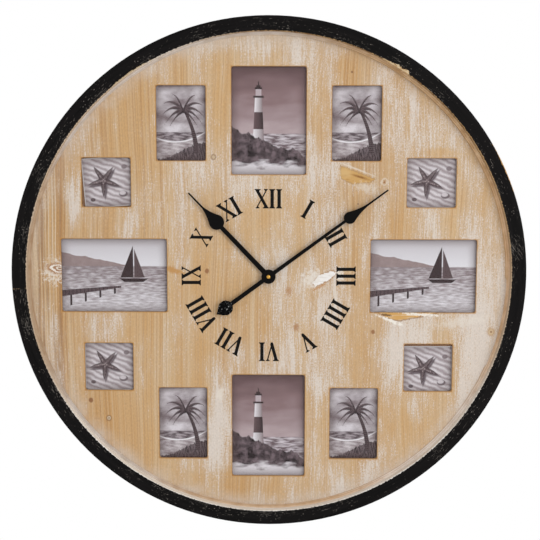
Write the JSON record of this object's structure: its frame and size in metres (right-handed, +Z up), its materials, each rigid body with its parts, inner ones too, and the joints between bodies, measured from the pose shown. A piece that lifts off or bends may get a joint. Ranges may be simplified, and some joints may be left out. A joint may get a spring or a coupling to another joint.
{
  "type": "photo frame wall clock",
  "caption": "Large round wooden wall clock with a worn black rim, spade hands and glazed photo windows in the dial, held at the back by turn buttons.",
  "frame": {"origin": "on the axis of the hands, in the plane of the wall that the rim's back rests against", "axes": "+Z up with the hour of twelve at the top, +X to the viewer's right, +Y into the wall; the dial faces -Y"},
  "size_m": [0.8, 0.045, 0.8],
  "materials": {
    "veneer": "matte",
    "black_rim": "matte",
    "pane": "gloss",
    "print": "satin",
    "hardboard": "matte",
    "plated_steel": "satin",
    "hanger_wood": "matte",
    "black_metal": "satin",
    "black_gloss_metal": "gloss",
    "brass": "polished",
    "black_plastic": "matte",
    "knob_plastic": "matte",
    "wheel_plastic": "satin",
    "cell": "satin",
    "circuit": "satin",
    "copper_winding": "satin",
    "soft_iron": "satin",
    "magnet": "satin"
  },
  "bodies": {
    "clock_case": {"face_panel": "veneer", "upper_rim": "black_rim", "lower_rim": "black_rim", "window_panes": "pane", "upright_prints": "print", "wide_prints": "print", "medium_prints": "print", "small_prints": "print", "upright_backs": "hardboard", "wide_backs": "hardboard", "medium_backs": "hardboard", "small_backs": "hardboard", "wood_screws": "plated_steel", "hanger_block": "hanger_wood", "keyhole_plate": "plated_steel", "bush_nut": "brass", "movement_case": "black_plastic", "movement_cover": "black_plastic", "battery": "cell", "battery_contacts": "plated_steel", "circuit_board": "circuit", "motor_coil": "copper_winding", "stator": "soft_iron"},
    "minute_assembly": {"minute_hand": "black_metal", "counterweight": "black_gloss_metal", "hand_nut": "brass", "minute_arbor": "brass"},
    "hour_assembly": {"hour_hand": "black_metal", "hour_wheel": "wheel_plastic"},
    "minute_wheel": {"minute_wheel": "wheel_plastic"},
    "setting_knob": {"setting_knob": "knob_plastic"},
    "intermediate_wheel": {"intermediate_wheel": "wheel_plastic"},
    "rotor": {"rotor": "magnet"},
    "second_wheel": {"second_wheel": "wheel_plastic"},
    "third_wheel": {"third_wheel": "wheel_plastic"},
    "centre_wheel": {"centre_wheel": "wheel_plastic"},
    "turn_button_01_bottom": {"turn_button_01_bottom": "plated_steel"},
    "turn_button_01_top": {"turn_button_01_top": "plated_steel"},
    "turn_button_02_bottom": {"turn_button_02_bottom": "plated_steel"},
    "turn_button_02_top": {"turn_button_02_top": "plated_steel"},
    "turn_button_03_left": {"turn_button_03_left": "plated_steel"},
    "turn_button_03_right": {"turn_button_03_right": "plated_steel"},
    "turn_button_04_bottom": {"turn_button_04_bottom": "plated_steel"},
    "turn_button_04_top": {"turn_button_04_top": "plated_steel"},
    "turn_button_05_bottom": {"turn_button_05_bottom": "plated_steel"},
    "turn_button_05_top": {"turn_button_05_top": "plated_steel"},
    "turn_button_06_bottom": {"turn_button_06_bottom": "plated_steel"},
    "turn_button_06_top": {"turn_button_06_top": "plated_steel"},
    "turn_button_07_bottom": {"turn_button_07_bottom": "plated_steel"},
    "turn_button_07_top": {"turn_button_07_top": "plated_steel"},
    "turn_button_08_bottom": {"turn_button_08_bottom": "plated_steel"},
    "turn_button_08_top": {"turn_button_08_top": "plated_steel"},
    "turn_button_09_left": {"turn_button_09_left": "plated_steel"},
    "turn_button_09_right": {"turn_button_09_right": "plated_steel"},
    "turn_button_10_bottom": {"turn_button_10_bottom": "plated_steel"},
    "turn_button_10_top": {"turn_button_10_top": "plated_steel"},
    "turn_button_11_bottom": {"turn_button_11_bottom": "plated_steel"},
    "turn_button_11_top": {"turn_button_11_top": "plated_steel"},
    "turn_button_12_bottom": {"turn_button_12_bottom": "plated_steel"},
    "turn_button_12_top": {"turn_button_12_top": "plated_steel"}
  },
  "joints": [
    {"name": "minute_turn", "type": "hinge", "parent": "clock_case", "child": "minute_assembly", "pos_m": [0, 0, 0], "axis": [0, 1, 0], "continuous": true},
    {"name": "hour_turn", "type": "hinge", "parent": "clock_case", "child": "hour_assembly", "pos_m": [0, 0, 0], "axis": [0, 1, 0], "continuous": true},
    {"name": "minute_wheel_turn", "type": "hinge", "parent": "clock_case", "child": "minute_wheel", "pos_m": [-0.00849, 0, 0.00849], "axis": [0, 1, 0], "continuous": true},
    {"name": "knob_turn", "type": "hinge", "parent": "clock_case", "child": "setting_knob", "pos_m": [-0.02049, 0, 0.00849], "axis": [0, 1, 0], "continuous": true},
    {"name": "intermediate_turn", "type": "hinge", "parent": "clock_case", "child": "intermediate_wheel", "pos_m": [0.01219, 0, 0.01873], "axis": [0, 1, 0], "continuous": true},
    {"name": "rotor_turn", "type": "hinge", "parent": "clock_case", "child": "rotor", "pos_m": [0.00522, 0, 0.01812], "axis": [0, 1, 0], "continuous": true},
    {"name": "second_turn", "type": "hinge", "parent": "clock_case", "child": "second_wheel", "pos_m": [0.01773, 0, 0.01163], "axis": [0, 1, 0], "continuous": true},
    {"name": "third_turn", "type": "hinge", "parent": "clock_case", "child": "third_wheel", "pos_m": [0.00815, 0, 0.00815], "axis": [0, 1, 0], "continuous": true},
    {"name": "centre_turn", "type": "hinge", "parent": "clock_case", "child": "centre_wheel", "pos_m": [0, 0, 0], "axis": [0, 1, 0], "continuous": true},
    {"name": "button_01_bottom_turn", "type": "hinge", "parent": "clock_case", "child": "turn_button_01_bottom", "pos_m": [0.13526, 0, 0.16464], "axis": [0, 1, 0], "range_deg": [-90, 90]},
    {"name": "button_01_top_turn", "type": "hinge", "parent": "clock_case", "child": "turn_button_01_top", "pos_m": [0.13526, 0, 0.30964], "axis": [0, 1, 0], "range_deg": [-90, 90]},
    {"name": "button_02_bottom_turn", "type": "hinge", "parent": "clock_case", "child": "turn_button_02_bottom", "pos_m": [0.25176, 0, 0.09294], "axis": [0, 1, 0], "range_deg": [-90, 90]},
    {"name": "button_02_top_turn", "type": "hinge", "parent": "clock_case", "child": "turn_button_02_top", "pos_m": [0.25176, 0, 0.19894], "axis": [0, 1, 0], "range_deg": [-90, 90]},
    {"name": "button_03_left_turn", "type": "hinge", "parent": "clock_case", "child": "turn_button_03_left", "pos_m": [0.144, 0, 0], "axis": [0, 1, 0], "range_deg": [-90, 90]},
    {"name": "button_03_right_turn", "type": "hinge", "parent": "clock_case", "child": "turn_button_03_right", "pos_m": [0.339, 0, 0], "axis": [0, 1, 0], "range_deg": [-90, 90]},
    {"name": "button_04_bottom_turn", "type": "hinge", "parent": "clock_case", "child": "turn_button_04_bottom", "pos_m": [0.25176, 0, -0.19894], "axis": [0, 1, 0], "range_deg": [-90, 90]},
    {"name": "button_04_top_turn", "type": "hinge", "parent": "clock_case", "child": "turn_button_04_top", "pos_m": [0.25176, 0, -0.09294], "axis": [0, 1, 0], "range_deg": [-90, 90]},
    {"name": "button_05_bottom_turn", "type": "hinge", "parent": "clock_case", "child": "turn_button_05_bottom", "pos_m": [0.13526, 0, -0.30964], "axis": [0, 1, 0], "range_deg": [-90, 90]},
    {"name": "button_05_top_turn", "type": "hinge", "parent": "clock_case", "child": "turn_button_05_top", "pos_m": [0.13526, 0, -0.16464], "axis": [0, 1, 0], "range_deg": [-90, 90]},
    {"name": "button_06_bottom_turn", "type": "hinge", "parent": "clock_case", "child": "turn_button_06_bottom", "pos_m": [0, 0, -0.3385], "axis": [0, 1, 0], "range_deg": [-90, 90]},
    {"name": "button_06_top_turn", "type": "hinge", "parent": "clock_case", "child": "turn_button_06_top", "pos_m": [0, 0, -0.1435], "axis": [0, 1, 0], "range_deg": [-90, 90]},
    {"name": "button_07_bottom_turn", "type": "hinge", "parent": "clock_case", "child": "turn_button_07_bottom", "pos_m": [-0.13526, 0, -0.30964], "axis": [0, 1, 0], "range_deg": [-90, 90]},
    {"name": "button_07_top_turn", "type": "hinge", "parent": "clock_case", "child": "turn_button_07_top", "pos_m": [-0.13526, 0, -0.16464], "axis": [0, 1, 0], "range_deg": [-90, 90]},
    {"name": "button_08_bottom_turn", "type": "hinge", "parent": "clock_case", "child": "turn_button_08_bottom", "pos_m": [-0.25176, 0, -0.19894], "axis": [0, 1, 0], "range_deg": [-90, 90]},
    {"name": "button_08_top_turn", "type": "hinge", "parent": "clock_case", "child": "turn_button_08_top", "pos_m": [-0.25176, 0, -0.09294], "axis": [0, 1, 0], "range_deg": [-90, 90]},
    {"name": "button_09_left_turn", "type": "hinge", "parent": "clock_case", "child": "turn_button_09_left", "pos_m": [-0.339, 0, 0], "axis": [0, 1, 0], "range_deg": [-90, 90]},
    {"name": "button_09_right_turn", "type": "hinge", "parent": "clock_case", "child": "turn_button_09_right", "pos_m": [-0.144, 0, 0], "axis": [0, 1, 0], "range_deg": [-90, 90]},
    {"name": "button_10_bottom_turn", "type": "hinge", "parent": "clock_case", "child": "turn_button_10_bottom", "pos_m": [-0.25176, 0, 0.09294], "axis": [0, 1, 0], "range_deg": [-90, 90]},
    {"name": "button_10_top_turn", "type": "hinge", "parent": "clock_case", "child": "turn_button_10_top", "pos_m": [-0.25176, 0, 0.19894], "axis": [0, 1, 0], "range_deg": [-90, 90]},
    {"name": "button_11_bottom_turn", "type": "hinge", "parent": "clock_case", "child": "turn_button_11_bottom", "pos_m": [-0.13526, 0, 0.16464], "axis": [0, 1, 0], "range_deg": [-90, 90]},
    {"name": "button_11_top_turn", "type": "hinge", "parent": "clock_case", "child": "turn_button_11_top", "pos_m": [-0.13526, 0, 0.30964], "axis": [0, 1, 0], "range_deg": [-90, 90]},
    {"name": "button_12_bottom_turn", "type": "hinge", "parent": "clock_case", "child": "turn_button_12_bottom", "pos_m": [0, 0, 0.1435], "axis": [0, 1, 0], "range_deg": [-90, 90]},
    {"name": "button_12_top_turn", "type": "hinge", "parent": "clock_case", "child": "turn_button_12_top", "pos_m": [0, 0, 0.3385], "axis": [0, 1, 0], "range_deg": [-90, 90]}
  ],
  "couplings": [
    {"joint": "hour_turn", "follows": "minute_turn", "ratio": 0.083333},
    {"joint": "minute_wheel_turn", "follows": "minute_turn", "ratio": -0.33333},
    {"joint": "knob_turn", "follows": "minute_turn", "ratio": 1},
    {"joint": "rotor_turn", "follows": "intermediate_turn", "ratio": -6},
    {"joint": "second_turn", "follows": "intermediate_turn", "ratio": -0.2},
    {"joint": "third_turn", "follows": "intermediate_turn", "ratio": 0.026667},
    {"joint": "centre_turn", "follows": "intermediate_turn", "ratio": -0.0033333}
  ]
}
